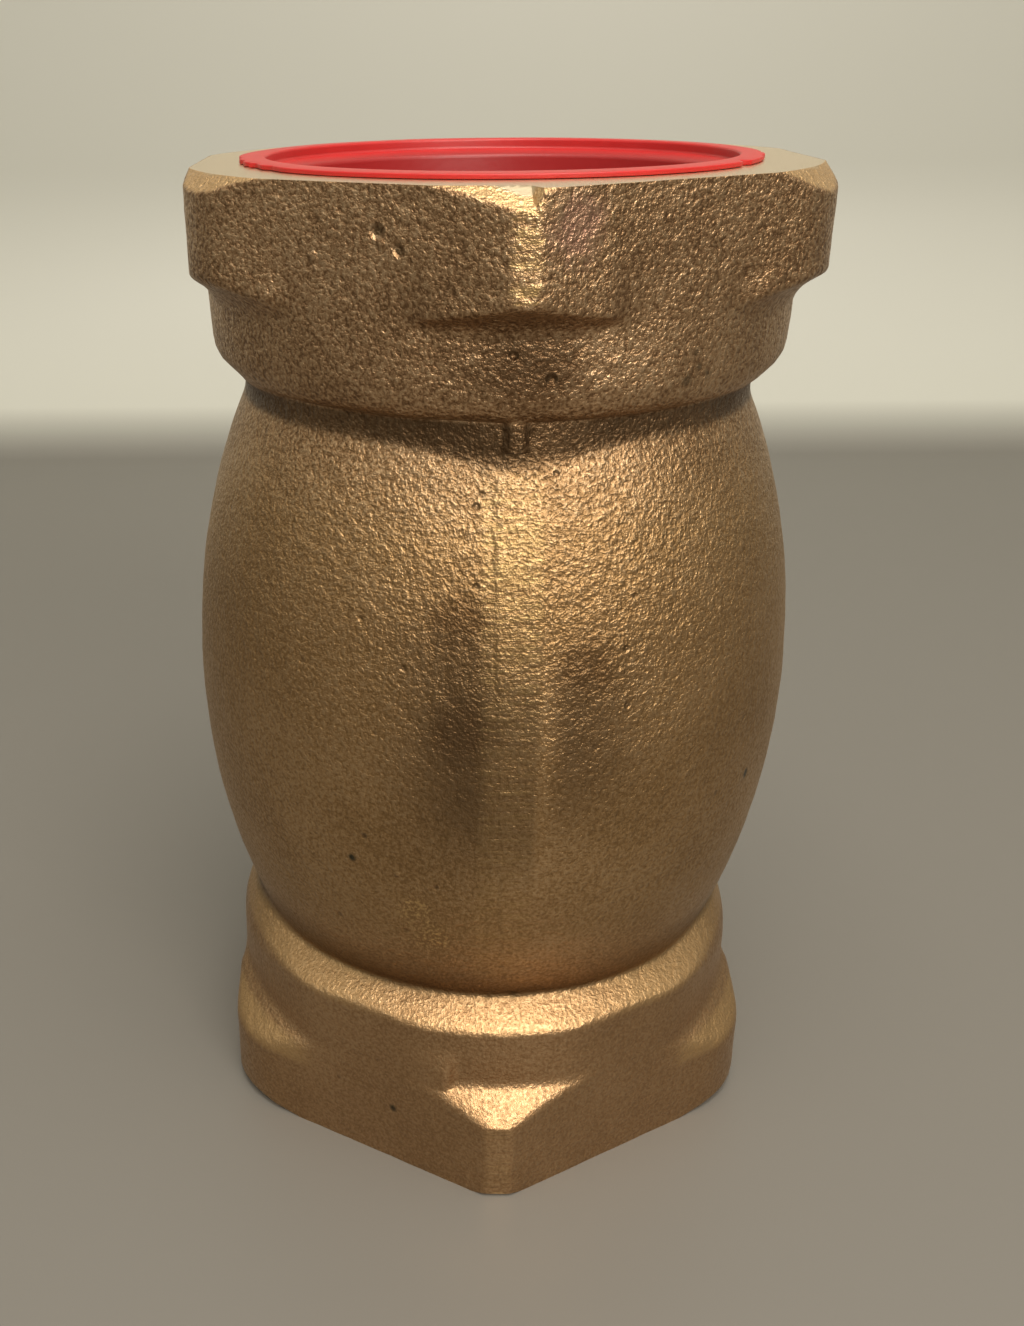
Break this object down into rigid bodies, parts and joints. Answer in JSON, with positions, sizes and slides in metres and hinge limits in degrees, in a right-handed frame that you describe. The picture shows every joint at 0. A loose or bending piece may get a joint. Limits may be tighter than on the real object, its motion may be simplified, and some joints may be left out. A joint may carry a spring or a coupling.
{
  "type": "in-line non-return valve",
  "caption": "Straight bronze non-return valve with hexagonal threaded ends, a sprung poppet inside and a plastic thread cap.",
  "frame": {"origin": "centre of the bottom face, where the valve's axis meets the surface it stands on", "axes": "+Z along the axis, with the flow, from the inlet below to the outlet above; a corner of both hexagons and the mould's parting line face -Y"},
  "size_m": [0.083, 0.0862, 0.1317],
  "materials": {
    "cast_bronze": "rough sand cast, ends turned",
    "turned_bronze": "turned",
    "stainless_rod": "turned",
    "stainless_sheet": "rolled and tumbled",
    "spring_wire": "drawn wire",
    "red_polythene": "moulded, slightly translucent",
    "nitrile_rubber": "moulded",
    "acetal": "turned"
  },
  "bodies": {
    "casting": {"body": "cast_bronze", "seat_ring": "turned_bronze", "seat_o_ring": "nitrile_rubber", "inlet_guide": "turned_bronze", "inlet_guide_bush": "acetal", "spring": "spring_wire", "upper_spring_seat": "stainless_sheet", "outlet_guide": "turned_bronze", "outlet_guide_bush": "acetal", "wave_washer": "stainless_sheet", "retaining_ring": "stainless_sheet"},
    "poppet": {"stem": "stainless_rod", "disc_holder": "turned_bronze", "seal_disc": "nitrile_rubber", "seal_washer": "stainless_sheet", "lock_washer": "stainless_sheet", "lock_nut": "stainless_rod", "stem_o_ring": "nitrile_rubber", "lower_spring_seat": "stainless_sheet", "lift_stop": "stainless_rod"},
    "cap": {"thread_cap": "red_polythene"}
  },
  "joints": [
    {"name": "poppet_lift", "type": "slide", "parent": "casting", "child": "poppet", "axis": [0, 0, 1], "range_m": [0, 0.014], "stiffness_N_per_m": 320, "springref_m": -0.014, "deforming": ["spring"]},
    {"name": "cap_pull", "type": "slide", "parent": "casting", "child": "cap", "axis": [0, 0, 1], "range_m": [0, 0.06]}
  ]
}
